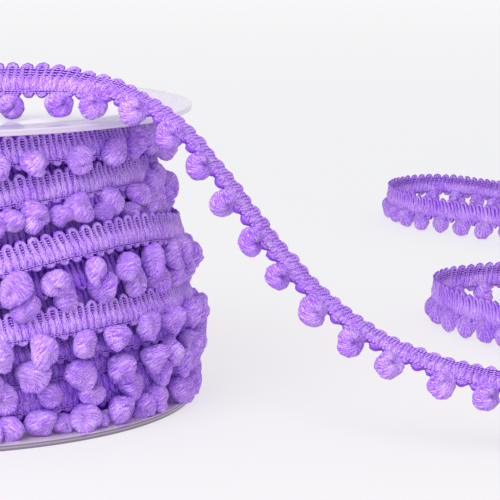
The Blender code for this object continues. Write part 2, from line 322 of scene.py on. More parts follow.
# How far the turns bulge on the right, and how sharply
BULGE = 4.0
BULGE_SHARPNESS = 4
# How the turns stray up and down, and in and out: (reach, length)
TOP_STRAY = (0.25, 70.0)
RADIUS_STRAY = (0.35, 45.0)
# Where the last turn leaves the winding
LEAVING_RADIUS = 63.4
LEAVING_TOP = 58.25
# Inner turns under the others: heights, radius, gap to the barrel, breadth and height of a turn
CORE_LOW, CORE_HIGH = 2.6, 66.2
CORE_RADIUS = 54.0
CORE_GAP = 0.3
CORE_TURN = 2.2
CORE_RIDGE = 0.9

# Loose end: the middle of its heading from the winding to the cut end, from the reel's axis.
LOOSE_END_POMPOMS = 86
# How much of the heading's lean its pompoms take up
POMPOM_LEAN_SHARE = 0.62
# Spacing of the stations of a route, and points of its curve for each given one
STATION_STEP = 0.8
ROUTE_SAMPLES_PER_POINT = 40
# Off the table: (x, y, height, how far the heading's top edge leans over, in degrees)
LOOSE_END_IN_THE_AIR = (
    (-30.9, 55.4, 55.0, 0.0), (-53.6, 37.5, 57.8, 0.0), (-64.4, 23.4, 61.6, 0.0),
    (-69.7, 6.1, 67.2, 0.0), (-68.9, -12.2, 74.0, 0.0), (-62.1, -26.4, 80.2, 0.0),
    (-48.0, -36.4, 81.0, 0.0), (-28.0, -39.4, 79.6, 0.0), (-8.0, -38.6, 78.7, 0.0),
    (8.0, -38.0, 78.5, 0.0), (24.3, -38.2, 78.5, 4.0), (37.5, -40.0, 78.1, 30.0),
    (49.5, -43.4, 75.6, 62.0), (59.8, -46.8, 70.2, 76.0), (68.4, -49.3, 61.6, 79.0),
    (76.2, -51.3, 51.4, 74.0), (84.2, -53.1, 41.2, 70.0), (93.2, -55.1, 32.0, 71.0),
    (104.0, -57.4, 24.5, 71.0), (116.2, -59.6, 19.4, 65.0), (129.0, -60.4, 16.2, 52.0),
    (141.5, -57.6, 13.2, 32.0), (152.0, -48.6, 10.6, 12.0), (159.0, -36.0, 9.0, 2.0),
)
# Standing on the table, with its middle this high: (x, y)
STANDING_HEIGHT = 8.8
LOOSE_END_ON_THE_TABLE = (
    (162.0, -20.0), (160.6, -2.0), (156.4, 16.0), (149.0, 36.0), (141.0, 54.0),
    (133.4, 69.0), (128.4, 84.0), (127.8, 98.0), (132.6, 110.0), (144.0, 117.6),
    (160.0, 123.0), (174.0, 132.0), (184.0, 147.0), (188.0, 166.0), (184.6, 188.0),
    (175.6, 209.0), (163.0, 228.6), (148.6, 243.6), (136.6, 257.0), (129.2, 272.0),
    (126.0, 287.0), (127.4, 301.0), (134.0, 312.6), (145.0, 317.0), (156.6, 308.0),
    (166.0, 296.0), (175.6, 284.0), (186.0, 275.0),
)

# Camera, in metres.
CAMERA_PLACE = (0.018, -0.708, 0.1267)
CAMERA_PITCH = math.radians(81.0)
CAMERA_LENS = 180.0
CAMERA_SENSOR = 36.0
CAMERA_CLIP = (0.05, 50.0)
KEY_PLACE = (-0.24, -0.58, 0.40)
# Half the floor's breadth, and how far behind the reel the lit backdrop stands, out of view
FLOOR_HALF = 6.0
BACKDROP_PLACE = 3.0
# From where to where, front to back, the glow of the paper changes
GLOW_FRONT, GLOW_BACK = -0.3, 1.7


def linear(hex_colour):
    """An sRGB hex colour as linear red, green, blue and alpha."""
    values = [int(hex_colour[i:i + 2], 16) / 255.0 for i in (1, 3, 5)]
    return tuple(v / 12.92 if v <= 0.04045 else ((v + 0.055) / 1.055) ** 2.4 for v in values) + (1.0,)


def mm(length):
    """A length in metres as millimetres."""
    return length / MM


# Properties -----------------------------------------------------------------------------------


class TrimSizes(bpy.types.PropertyGroup):
    """Sizes of the trim that can be changed."""

    scallop_pitch: bpy.props.FloatProperty(
        name="Scallop pitch", description="Distance from one lower turn of the yarn to the next",
        default=USUAL_PITCH * MM, min=2.0 * MM, max=6.0 * MM, unit="LENGTH", precision=4)
    thread_radius: bpy.props.FloatProperty(
        name="Chain thread radius", description="Half the thickness of a chain thread",
        default=0.24 * MM, min=0.1 * MM, max=0.4 * MM, unit="LENGTH", precision=4)
    rib_slant: bpy.props.FloatProperty(
        name="Rib slant", description="How far the ribs lean, as a share of their depth",
        default=0.22, min=0.0, max=0.6)
    pompom_scale: bpy.props.FloatProperty(
        name="Pompom scale", description="Size of each pompom against its usual size",
        default=1.0, min=0.5, max=1.5, subtype="FACTOR")


class TrimColours(bpy.types.PropertyGroup):
    """Colours of the yarn and the reel."""

    yarn_light: bpy.props.FloatVectorProperty(
        name="Yarn, light", description="Crests of the filaments", subtype="COLOR", size=4,
        min=0.0, max=1.0, default=linear("#E8CDFF"))
    yarn_middle: bpy.props.FloatVectorProperty(
        name="Yarn, middle", description="Body of the yarn", subtype="COLOR", size=4,
        min=0.0, max=1.0, default=linear("#C48CFD"))
    yarn_shade: bpy.props.FloatVectorProperty(
        name="Yarn, shade", description="Between the filaments", subtype="COLOR", size=4,
        min=0.0, max=1.0, default=linear("#914CEA"))
    # Painted shade: the darkest tone, drawn between the ribs, on the inner turns and on the chain
    # threads' flanks and stitch ends
    yarn_painted_shade: bpy.props.FloatVectorProperty(
        name="Yarn, deep", description="Deep between the ribs and under the turns",
        subtype="COLOR", size=4, min=0.0, max=1.0, default=linear("#8433D0"))
    thread: bpy.props.FloatVectorProperty(
        name="Chain thread", description="Fine threads of the chains", subtype="COLOR", size=4,
        min=0.0, max=1.0, default=linear("#CFA4FA"))
    plastic: bpy.props.FloatVectorProperty(
        name="Clear plastic", description="Tint of the reel", subtype="COLOR", size=4,
        min=0.0, max=1.0, default=linear("#F4F1F9"))
    # Painted reflection and shade: the ledge's mauve stands for the purple yarn mirrored in it and
    # its shade seen through
    plastic_ledge_painted_reflection: bpy.props.FloatVectorProperty(
        name="Clear plastic, ledge", description="Top of the flange that stands on the table",
        subtype="COLOR", size=4, min=0.0, max=1.0, default=linear("#CDB2CF"))
    # Painted shade: the standing rim's dark grey stands for its contact shadow and the dark seen
    # through it
    plastic_rim_painted_shade: bpy.props.FloatVectorProperty(
        name="Clear plastic, rim", description="Edge of the flange that stands on the table",
        subtype="COLOR", size=4, min=0.0, max=1.0, default=linear("#6C5B76"))
    floor: bpy.props.FloatVectorProperty(
        name="Floor", description="Paper under the reel", subtype="COLOR", size=4,
        min=0.0, max=1.0, default=linear("#8A898B"))
    floor_glow: bpy.props.FloatVectorProperty(
        name="Floor glow", description="Light that comes through the paper", subtype="COLOR",
        size=4, min=0.0, max=1.0, default=linear("#ECE9EB"))


class StageLight(bpy.types.PropertyGroup):
    """Strengths of the studio light."""

    sky: bpy.props.FloatProperty(
        name="Sky strength", description="Light from all round", default=0.67, min=0.0, max=5.0)
    key: bpy.props.FloatProperty(
        name="Key strength", description="Light that reaches the reel from the broad light above",
        default=2.45, min=0.0, max=20.0)
    floor_glow: bpy.props.FloatProperty(
        name="Floor glow", description="How strongly the paper is lit from below", default=0.765,
        min=0.0, max=5.0)
    backdrop: bpy.props.FloatProperty(
        name="Backdrop strength", description="Light from the wall behind, seen in the plastic",
        default=1.0, min=0.0, max=5.0)
    key_spread: bpy.props.FloatProperty(
        name="Key spread", description="How wide the broad light is, seen from the reel",
        default=math.radians(48.0), min=0.0, max=math.pi, subtype="ANGLE")


# Materials ------------------------------------------------------------------------------------


def add_node(tree, kind, inputs=None, **settings):
    """A node with its settings, and its inputs as values, or as nodes or sockets to link."""
    node = tree.nodes.new(kind)
    for name, value in settings.items():
        setattr(node, name, value)
    for name, value in (inputs or {}).items():
        if isinstance(value, bpy.types.Node):
            value = value.outputs[0]
        if isinstance(value, bpy.types.NodeSocket):
            tree.links.new(value, node.inputs[name])
        else:
            node.inputs[name].default_value = value
    return node


def new_material(name):
    """An empty node material and its tree."""
    material = bpy.data.materials.new(name)
    material.use_nodes = True
    material.node_tree.nodes.clear()
    return material, material.node_tree


def yarn_material(name, colours, fibres):
    """Soft acrylic roving: parallel filaments with a dull lustre and a fuzzy, lighter edge.

    Lines and grains are drawn about twice as coarse as real fibres.
    """
    material, tree = new_material(name)
    place = add_node(tree, "ShaderNodeUVMap", uv_map="yarn")
    filaments = add_node(tree, "ShaderNodeMapping", {
        "Vector": place, "Scale": (*fibres.lines, 1.0)})
    fine = add_node(tree, "ShaderNodeTexNoise", {
        "Vector": filaments, "Scale": 1.0, "Detail": 2.0, "Roughness": 0.6})
    curls = add_node(tree, "ShaderNodeMapping", {
        "Vector": place, "Location": (7.0, 3.0, 0.0), "Scale": (*fibres.grains, 1.0)})
    grain = add_node(tree, "ShaderNodeTexNoise", {
        "Vector": curls, "Scale": 1.0, "Detail": 1.0, "Roughness": 0.7})
    solid = add_node(tree, "ShaderNodeTexCoord")
    broad = add_node(tree, "ShaderNodeTexNoise", {
        "Vector": solid.outputs["Object"], "Scale": 1.0 / PATCH_SPACING, "Detail": 1.0})
    tone = add_node(tree, "ShaderNodeMath", {0: fine, 1: fibres.streaks, 2: grain},
                    operation="MULTIPLY_ADD")
    tone = add_node(tree, "ShaderNodeMath", {0: broad, 1: PATCHES, 2: tone},
                    operation="MULTIPLY_ADD")
    # Painted shade: the yarn's flanks, where its legs meet, are drawn darker by flank_shade
    round_it = add_node(tree, "ShaderNodeSeparateXYZ", {"Vector": place})
    turn = add_node(tree, "ShaderNodeMath", {0: round_it.outputs["Y"], 1: 2.0 * math.pi},
                    operation="MULTIPLY")
    flank = add_node(tree, "ShaderNodeMath", {0: turn}, operation="SINE")
    flank = add_node(tree, "ShaderNodeMath", {0: flank}, operation="ABSOLUTE")
    shade = add_node(tree, "ShaderNodeMapRange", {
        "Value": flank, "From Min": 0.35, "From Max": 0.8, "To Min": -fibres.flank_shade,
        "To Max": 0.0})
    tone = add_node(tree, "ShaderNodeMath", {0: tone, 1: shade}, operation="ADD")
    # shift makes the whole yarn lighter or darker; the turns behind the pompoms use it as painted
    # shade
    middle = (fibres.streaks + 1.0 + PATCHES) / 2.0 - fibres.shift
    spread = fibres.tones * math.hypot(fibres.streaks, 1.0)
    tone = add_node(tree, "ShaderNodeMapRange", {
        "Value": tone, "From Min": middle - spread, "From Max": middle + spread})
    ramp = add_node(tree, "ShaderNodeValToRGB", {"Fac": tone})
    ramp.color_ramp.elements[0].color = colours.yarn_shade
    ramp.color_ramp.elements[1].color = colours.yarn_light
    body = ramp.color_ramp.elements.new(0.5)
    body.color = colours.yarn_middle
    relief = add_node(tree, "ShaderNodeBump", {
        "Height": fine, "Strength": 0.8, "Distance": 0.5 * MM})
    shader = add_node(tree, "ShaderNodeBsdfPrincipled", {
        "Base Color": ramp, "Roughness": 0.72, "IOR": 1.5, "Specular IOR Level": 0.25,
        "Sheen Weight": 0.15, "Sheen Roughness": 0.4, "Sheen Tint": linear("#E8C8FF"),
        "Normal": relief})
    add_node(tree, "ShaderNodeOutputMaterial", {"Surface": shader})
    return material


def ground_material(colours):
    """Woven ground of the heading: the same acrylic, drawn dark as painted shade between the ribs."""
    material, tree = new_material("shade_painted_acrylic_ground")
    solid = add_node(tree, "ShaderNodeTexCoord")
    weave = add_node(tree, "ShaderNodeTexNoise", {
        "Vector": solid.outputs["Object"], "Scale": 1.0 / GROUND_SPACING, "Detail": 1.0})
    # Painted shade: the ground runs from the painted shade colour up to the yarn's shade colour,
    # never lighter
    ramp = add_node(tree, "ShaderNodeValToRGB", {"Fac": weave})
    ramp.color_ramp.elements[0].color = colours.yarn_painted_shade
    ramp.color_ramp.elements[1].color = colours.yarn_shade
    shader = add_node(tree, "ShaderNodeBsdfPrincipled", {
        "Base Color": ramp, "Roughness": 0.85, "IOR": 1.5,
        "Specular IOR Level": 0.1})
    add_node(tree, "ShaderNodeOutputMaterial", {"Surface": shader})
    return material


def thread_material(colours, pitch):
    """Fine polyester sewing thread: each stitch of a chain is a light crest; its flanks and ends,
    where it sinks into the yarn, are drawn dark as painted shade.

    There are two stitches to each leg of the yarn.
    """
    material, tree = new_material("twisted_polyester_thread")
    place = add_node(tree, "ShaderNodeUVMap", uv_map="yarn")
    round_it = add_node(tree, "ShaderNodeSeparateXYZ", {"Vector": place})
    turn = add_node(tree, "ShaderNodeMath", {0: round_it.outputs["Y"], 1: 2.0 * math.pi},
                    operation="MULTIPLY")
    # Painted shade: dark on the thread's flanks and at the ends of each stitch, light on its crest
    crest = add_node(tree, "ShaderNodeMath", {0: turn}, operation="COSINE")
    crest = add_node(tree, "ShaderNodeMath", {0: crest}, operation="ABSOLUTE")
    stitch = add_node(tree, "ShaderNodeMath", {
        0: round_it.outputs["X"], 1: 8.0 * math.pi / pitch}, operation="MULTIPLY")
    stitch = add_node(tree, "ShaderNodeMath", {0: stitch}, operation="COSINE")
    tone = add_node(tree, "ShaderNodeMath", {0: stitch, 1: STITCH_SHARE, 2: crest},
                    operation="MULTIPLY_ADD")
    ramp = add_node(tree, "ShaderNodeValToRGB", {"Fac": tone})
    ramp.color_ramp.elements[0].position = 0.35
    ramp.color_ramp.elements[0].color = colours.yarn_painted_shade
    ramp.color_ramp.elements[1].position = 0.95
    ramp.color_ramp.elements[1].color = colours.thread
    shader = add_node(tree, "ShaderNodeBsdfPrincipled", {
        "Base Color": ramp, "Roughness": 0.5, "IOR": 1.5,
        "Specular IOR Level": 0.25})
    add_node(tree, "ShaderNodeOutputMaterial", {"Surface": shader})
    return material


def plastic_material(name, colour, face_cover, low_cover, bands=(), low=0.0):
    """Injection-moulded clear polystyrene: see-through face on, bright and glossy at a low angle.

    face_cover and low_cover are how much it hides what lies behind, seen face on and at a low
    angle.  bands are the lines that light piped through a flange makes in its edge, as (share of
    the flange's thickness, colour); low is the height of that flange's underside.
    """
    material, tree = new_material(name)
    if bands:
        solid = add_node(tree, "ShaderNodeTexCoord")
        height = add_node(tree, "ShaderNodeSeparateXYZ", {"Vector": solid.outputs["Object"]})
        share = add_node(tree, "ShaderNodeMapRange", {
            "Value": height.outputs["Z"], "From Min": low, "From Max": low + FLANGE_THICKNESS})
        ramp = add_node(tree, "ShaderNodeValToRGB", {"Fac": share})
        elements = ramp.color_ramp.elements
        elements[0].position, elements[0].color = bands[0]
        elements[1].position, elements[1].color = bands[-1]
        for position, band in bands[1:-1]:
            elements.new(position).color = band
        colour = ramp
    fresnel = add_node(tree, "ShaderNodeFresnel", {"IOR": 1.59})
    cover = add_node(tree, "ShaderNodeMapRange", {
        "Value": fresnel, "From Min": 0.05, "From Max": 0.45,
        "To Min": face_cover, "To Max": low_cover})
    shader = add_node(tree, "ShaderNodeBsdfPrincipled", {
        "Base Color": colour, "Roughness": 0.16, "IOR": 1.59, "Alpha": cover})
    add_node(tree, "ShaderNodeOutputMaterial", {"Surface": shader})
    return material


def paper_material(colours, glow):
    """Matt white background paper on a lit table: it glows a little, so shadows stay light.

    The glow falls off behind the reel and comes back far behind it.
    """
    material, tree = new_material("matt_background_paper")
    solid = add_node(tree, "ShaderNodeTexCoord")
    place = add_node(tree, "ShaderNodeSeparateXYZ", {"Vector": solid.outputs["Object"]})
    depth = add_node(tree, "ShaderNodeMapRange", {
        "Value": place.outputs["Y"], "From Min": GLOW_FRONT, "From Max": GLOW_BACK})
    ramp = add_node(tree, "ShaderNodeValToRGB", {"Fac": depth})
    ramp.color_ramp.elements[0].color = colours.floor_glow
    ramp.color_ramp.elements[1].color = linear("#F8F8F9")
    ramp.color_ramp.elements[1].position = 0.9
    behind = ramp.color_ramp.elements.new(0.3)
    behind.color = linear("#EEEFF0")
    shader = add_node(tree, "ShaderNodeBsdfPrincipled", {
        "Base Color": colours.floor, "Roughness": 0.9, "IOR": 1.5, "Specular IOR Level": 0.1,
        "Emission Color": ramp, "Emission Strength": glow})
    add_node(tree, "ShaderNodeOutputMaterial", {"Surface": shader})
    return material


def backdrop_material(glow):
    """Evenly lit white studio wall: what the glossy plastic mirrors at a low angle."""
    material, tree = new_material("lit_studio_wall")
    shader = add_node(tree, "ShaderNodeEmission", {
        "Color": linear("#F8F7FB"), "Strength": glow})
    add_node(tree, "ShaderNodeOutputMaterial", {"Surface": shader})
    return material


# Meshes ---------------------------------------------------------------------------------------


class Weave:
    """Tubes of yarn gathered as arrays, made into one mesh at the end."""

    def __init__(self):
        self.points = []
        self.faces = []
        self.places = []
        self.count = 0

    def add_tubes(self, points, run, closed=False):
        """Tubes as (tube, row, side) points in mm; run is how far along its yarn each row lies."""
        tubes, rows, sides = points.shape[:3]
        spans = rows if closed else rows - 1
        tube, row, side = np.meshgrid(np.arange(tubes), np.arange(spans), np.arange(sides),
                                      indexing="ij")
        first = self.count + tube * rows * sides
        ahead = (row + 1) % rows
        beside = (side + 1) % sides
        quads = np.stack([first + row * sides + side, first + row * sides + beside,
                          first + ahead * sides + beside, first + ahead * sides + side], axis=-1)
        ends = np.append(run, run[-1] + (run[-1] - run[-2]))
        along = np.stack([ends[row], ends[row], ends[row + 1], ends[row + 1]], axis=-1)
        round_it = np.stack([side, side + 1, side + 1, side], axis=-1) / sides
        self.points.append(points.reshape(-1, 3))
        self.faces.append(quads.reshape(-1, 4))
        self.places.append(np.stack([along, round_it], axis=-1).reshape(-1, 2))
        if not closed:
            self.close_ends(tubes, rows, sides)
        self.count += tubes * rows * sides

    def close_ends(self, tubes, rows, sides):
        """Close both ends of open tubes with quads; an odd number of sides leaves a small gap."""
        starts = self.count + rows * sides * np.arange(tubes)
        for row, order in ((0, -1), (rows - 1, 1)):
            for i in range(1, sides // 2):
                corners = (i - 1, i, sides - 1 - i, (sides - i) % sides)[::order]
                self.faces.append(starts[:, None] + row * sides + np.array(corners))
                self.places.append(np.zeros((4 * tubes, 2)))

    def to_mesh(self, name):
        """One smooth-shaded mesh in metres, with the yarn's own coordinates as its UV map."""
        points = np.concatenate(self.points) * MM
        faces = np.concatenate(self.faces)
        mesh = bpy.data.meshes.new(name)
        mesh.vertices.add(len(points))
        mesh.vertices.foreach_set("co", points.astype(np.float32).ravel())
        mesh.loops.add(faces.size)
        mesh.loops.foreach_set("vertex_index", faces.astype(np.int32).ravel())
        mesh.polygons.add(len(faces))
        mesh.polygons.foreach_set("loop_start", np.arange(0, faces.size, 4, dtype=np.int32))
        places = mesh.uv_layers.new(name="yarn")
        places.data.foreach_set("uv", np.concatenate(self.places).astype(np.float32).ravel())
        mesh.update(calc_edges=True)
        mesh.shade_smooth()
        mesh.validate()
        return mesh


def add_object(name, data):
    """An object in the scene."""
    thing = bpy.data.objects.new(name, data)
    bpy.context.scene.collection.objects.link(thing)
    return thing


def add_piece(name, mesh, material, replaces=()):
    """Put a piece in the scene with its material, riding on the frame's body, and hide the parts it
    replaces.
    """
    piece = add_object(name, mesh)
    mesh.materials.append(material)
    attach(piece, BODY)
    if replaces:
        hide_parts(*replaces)
    return piece


def add_trim(name, weave, material, replaces=()):
    """Put a piece of the trim in the scene, made of the tubes gathered for it."""
    return add_piece(name, weave.to_mesh(name), material, replaces)


def smooth_step(t):
    """A rise from 0 to 1 with level ends."""
    t = np.clip(t, 0.0, 1.0)
    return t * t * (3.0 - 2.0 * t)


def wander(along, reach, length, seed):
    """A smooth random value that strays about as far as reach and changes over a length."""
    draw = np.random.default_rng(seed)
    value = np.zeros_like(along)
    for octave in OCTAVES:
        phase = draw.uniform(0.0, 2.0 * math.pi)
        value += np.sin(2.0 * math.pi * octave * along / length + phase)
    return reach * (value / USUAL_SUM)


def unit(vector):
    """A vector of length 1."""
    vector = np.asarray(vector, float)
    return vector / np.linalg.norm(vector)


def unit_rows(vectors):
    """Vectors of length 1, one in each row."""
    return vectors / np.linalg.norm(vectors, axis=1)[:, None]


class Route(namedtuple("Route", ("along", "middle", "up", "out", "pompom_up", "pompom_out"))):
    """Where the middle of the heading runs: its places, and its up and outward directions."""

    def pick(self, values, along):
        """Values of the route at places along it."""
        return np.stack([np.interp(along, self.along, column) for column in values.T], axis=-1)

    def lay(self, trim):
        """Carry points given as (along, depth, out) to their place."""
        along, depth, out = trim[..., 0], trim[..., 1], trim[..., 2]
        above = HEADING_WIDTH / 2.0 - depth
        return (self.pick(self.middle, along) + above[..., None] * self.pick(self.up, along)
                + out[..., None] * self.pick(self.out, along))


def slant_at(along, sizes, lean, seed):
    """How far the ribs lean at places along the heading, as a share of their depth."""
    return sizes.rib_slant * (lean + wander(along, *LEAN_CHANGE, seed + 1))


def yarn_path(first, last, sizes, seed, skip, lean, fullness):
    """The yarn's middle line from scallop first to last, as (along, depth, out), and half sizes."""
    pitch = mm(sizes.scallop_pitch)
    half = np.array(SCALLOP_HALF[:-1:skip] + SCALLOP_HALF[-1:])
    half[:, 0] *= pitch / USUAL_PITCH
    back = half[-2:0:-1].copy()
    back[:, 0] = pitch - back[:, 0]
    scallop = np.concatenate([half, back])
    count = last - first
    path = np.tile(scallop, (count, 1, 1))
    path[:, :, 0] += pitch * np.arange(first, last)[:, None]
    draw = np.random.default_rng(seed)
    depth = path[:, :, 1]
    upper = smooth_step((UPPER_LOOP[0] - depth) / UPPER_LOOP[1])
    path[:, :, 1] -= upper * draw.normal(0.0, UNEVEN_LOOPS, (count, 1))
    path[:, :, 0] += draw.normal(0.0, UNEVEN_PLACES, (count, len(scallop)))
    path[:, :, 2:] *= 1.0 + draw.normal(0.0, UNEVEN_YARN, (count, len(scallop), 1))
    path[:, :, 2] *= fullness
    lower = smooth_step((depth - LOWER_TURN[0]) / LOWER_TURN[1])
    path[:, :, 1] += lower * draw.normal(0.0, UNEVEN_TURNS, (count, 1))
    path = path.reshape(-1, 4)
    path[:, 0] += slant_at(path[:, 0], sizes, lean, seed) * (path[:, 1] - LEAN_DEPTH)
    out = wander(path[:, 0], *HEADING_WAVE, seed + 2)
    line = np.stack([path[:, 0], path[:, 1], out], axis=-1)
    return line, path[:, 2], path[:, 3]


def tube_round(line, half_breadth, half_thickness, sides, level):
    """Points round a line in trim coordinates; level is the direction that stays put."""
    ahead = unit_rows(np.gradient(line, axis=0))
    side = unit_rows(np.cross(ahead, level))
    normal = np.cross(side, ahead)
    turn = 2.0 * math.pi * np.arange(sides) / sides
    breadth = half_breadth[:, None, None] * np.cos(turn)[None, :, None]
    thickness = half_thickness[:, None, None] * np.sin(turn)[None, :, None]
    return line[:, None, :] + breadth * side[:, None, :] + thickness * normal[:, None, :]


def path_run(line):
    """Distance along a line from its start."""
    return np.concatenate(([0.0], np.cumsum(np.linalg.norm(np.diff(line, axis=0), axis=1))))


def weave_ground(route, start, length):
    """The woven ground of the heading, under its yarn and chains."""
    count = int(length / GROUND_STEP) + 1
    along = np.linspace(start, start + length, count)
    ring = [(depth, half) for depth, half in GROUND_EDGE]
    ring += [(depth, -half) for depth, half in reversed(GROUND_EDGE)]
    edges = [np.stack([along, np.full(count, depth), np.full(count, out)], axis=-1)
             for depth, out in ring]
    weave = Weave()
    weave.add_tubes(route.lay(np.stack(edges, axis=1))[None], along - start)
    return weave


def weave_yarn(route, first, last, sizes, seed, lean, skip=1, fullness=1.0):
    """The yarn zigzagging across the heading, from scallop first to last."""
    line, breadth, thickness = yarn_path(first, last, sizes, seed, skip, lean, fullness)
    sides = YARN_SIDES if skip == 1 else COARSE_YARN_SIDES
    tube = tube_round(line, breadth, thickness, sides, OUTWARD)
    weave = Weave()
    weave.add_tubes(route.lay(tube)[None], path_run(line))
    return weave


def weave_chains(route, first, last, sizes, seed, lean, pressed):
    """Rows of chain thread across the legs of the yarn; pressed turns have them deeper."""
    pitch = mm(sizes.scallop_pitch)
    count = CHAIN_SAMPLES * (last - first) + 1
    along = np.linspace(pitch * first, pitch * last, count)
    slant = slant_at(along, sizes, lean, seed)
    over_leg = (1.0 - np.cos(4.0 * math.pi * along / pitch)) / 2.0
    sunk = SUNK_REACHES[pressed]
    size = np.full(count, mm(sizes.thread_radius))
    weave = Weave()
    for number, (depth, *reaches) in enumerate(CHAIN_ROWS):
        out = sunk + (reaches[pressed] - sunk) * over_leg + wander(along, *HEADING_WAVE, seed + 2)
        sway = wander(along, *CHAIN_SWAY, seed + CHAIN_SEED + number)
        line = np.stack([along + slant * (depth - LEAN_DEPTH), depth + sway, out], axis=-1)
        tube = tube_round(line, size, size, CHAIN_SIDES, DOWNWARD)
        weave.add_tubes(route.lay(tube)[None], along)
    return weave


def pompom_form(draw, facing, kind, rows, sides):
    """One pompom as (row, side) points in mm about its middle: x along the trim, y up, z out.

    The filaments leave a pinch near the heading, fan out over the belly and are gathered again
    at the root, so a row of points runs round the ball between those two poles, which are less
    than half a turn apart.  On the reel the pinch is pushed out into a tip that points down.
    """
    pinch = np.array(kind.pinch) * (facing, 1.0, 1.0)
    pinch = unit(pinch + draw.normal(0.0, kind.pinch_change, 3))
    root_along = draw.normal(0.0, kind.root_change)
    root = unit((root_along, 1.0, ROOT_OUT + draw.normal(0.0, ROOT_OUT_CHANGE)))
    bend = math.sqrt((1.0 + float(pinch @ root)) / 2.0)
    stretch = math.sqrt((1.0 + bend) / (1.0 - bend))
    toward = unit(pinch + root)
    pole = unit(pinch - root)
    level = np.cross(pole, toward)

    def widen(angle):
        return 2.0 * np.arctan2(np.sin(angle / 2.0) * stretch, np.cos(angle / 2.0))

    start = math.acos(bend) + POLE_GAP
    polar = widen(np.linspace(start, 2.0 * math.pi - start, rows))[:, None] - math.pi / 2.0
    even = 2.0 * math.pi * np.arange(sides) / sides
    spin = widen(even)[None, :]
    ahead = np.sin(polar) * np.cos(spin)
    share = 1.0 / (1.0 + bend * ahead)
    slack = math.sqrt(1.0 - bend * bend)
    form = ((ahead + bend) * share)[..., None] * toward
    form = form + (slack * np.cos(polar) * share)[..., None] * pole
    form = form + (slack * np.sin(polar) * np.sin(spin) * share)[..., None] * level
    near_pinch = np.arccos(np.clip(form @ pinch, -1.0, 1.0))
    reach = 1.0 + kind.pinch_reach * np.exp(-(near_pinch / PINCH_BREADTH) ** 2)
    back = draw.normal(0.0, 1.0, 3)
    back[2] += kind.back_out
    belly = np.array(kind.belly) + draw.normal(0.0, kind.belly_change, 3)
    for side, depth in ((belly, kind.belly_fold), (back, kind.back_fold)):
        across = unit(np.cross(pinch, side))
        off = form @ across
        run_out = smooth_step(form @ np.cross(across, pinch) / FOLD_START)
        fade = np.exp(-(near_pinch / FOLD_FADE) ** 2)
        reach = reach - depth * (np.exp(-(off / kind.fold_width) ** 2) * run_out * fade)
    for waves in BELLY_WAVES:
        wave = np.cos(waves * even + draw.uniform(0.0, PHASES))
        reach = reach + BELLY_WAVE * wave[None, :]
    for _ in range(LUMPS):
        lump = unit(draw.normal(0.0, 1.0, 3))
        place = LUMP_CLOSENESS * (form @ lump)
        reach = reach + kind.lump * np.sin(place + draw.uniform(0.0, PHASES))
    reach = reach + draw.normal(0.0, kind.roughness, reach.shape)
    form = form * reach[..., None]
    taper = 1.0 + kind.pressed * draw.uniform(*TAPER) * form[..., 1]
    form = form * np.stack([taper, np.ones_like(taper), taper], axis=-1)
    return form[:, ::-1] * np.array(POMPOM_HALF_SIZES) * kind.size


def weave_pompoms(route, first, last, sizes, seed, depth, out, kind, nudges,
                  fineness=POMPOM_FINENESS):
    """Pompoms number first to last, hung from the heading's lower edge."""
    draw = np.random.default_rng(seed)
    pitch = mm(sizes.scallop_pitch)
    forms = []
    for number in range(first, last):
        has_nudge = number - first in nudges
        nudge_along, nudge_up, wide, high = nudges.get(number - first, NO_NUDGE)
        along = (SCALLOPS_PER_POMPOM * number + SCALLOPS_PER_POMPOM / 2.0) * pitch + nudge_along
        middle, heading_up, up, outward = [
            route.pick(values, along)
            for values in (route.middle, route.up, route.pompom_up, route.pompom_out)]
        foot = middle - HEADING_WIDTH / 2.0 * heading_up
        stray = draw.normal(0.0, STRAY_NUDGED if has_nudge else STRAY)
        low = depth - nudge_up + kind.pressed * stray
        far = out + kind.pressed * draw.normal(0.0, STRAY_OUT)
        centre = foot - (low - HEADING_WIDTH) * up + far * outward
        facing = 1.0 if draw.random() > FACING_AWAY_SHARE * kind.pressed else -1.0
        tilt = Matrix.Rotation(draw.normal(0.0, math.radians(kind.tilt)), 3, "Y")
        twist = Matrix.Rotation(draw.normal(0.0, math.radians(kind.twist)), 3, "Z")
        scale = sizes.pompom_scale * draw.uniform(*SIZE_RANGE, 3)
        scale = scale * (1.0 + draw.normal(0.0, SIZE_CHANGE))
        if not has_nudge:
            taller = draw.uniform(*TALLER)
            scale *= 1.0 + UNNUDGED_GROWTH * kind.pressed * np.array((1.0, taller, 1.0))
        axes = np.stack([unit(np.cross(up, outward)), up, outward])
        form = pompom_form(draw, facing, kind, *fineness) * scale * (wide, high, 1.0)
        form = centre + form @ np.array(tilt @ twist).T @ axes
        form[..., 2] = np.maximum(form[..., 2], TABLE_GAP)
        forms.append(form)
    weave = Weave()
    weave.add_tubes(np.array(forms), np.linspace(0.0, POMPOM_RUN, fineness[0]))
    return weave


# Pieces ---------------------------------------------------------------------------------------


def turned_mesh(name, outline, rim=(), steps=REEL_STEPS):
    """A smooth ring turned about the reel's axis from a closed outline of (radius, height).

    rim gives the steps of the outline whose faces take the second material.
    """
    outline = np.array(outline)
    turn = 2.0 * math.pi * np.arange(steps) / steps
    rings = np.stack([outline[None, :, 0] * np.cos(turn)[:, None] + AXIS.x,
                      -outline[None, :, 0] * np.sin(turn)[:, None] + AXIS.y,
                      np.repeat(outline[None, :, 1], steps, axis=0)], axis=-1)
    weave = Weave()
    weave.add_tubes(rings[None] / MM, turn * mm(FLANGE_RADIUS), closed=True)
    mesh = weave.to_mesh(name)
    if rim:
        on_rim = np.isin(np.arange(steps * len(outline)) % len(outline), rim)
        mesh.polygons.foreach_set("material_index", on_rim.astype(np.int32))
    mesh.set_sharp_from_angle(angle=CREASE_ANGLE)
    return mesh


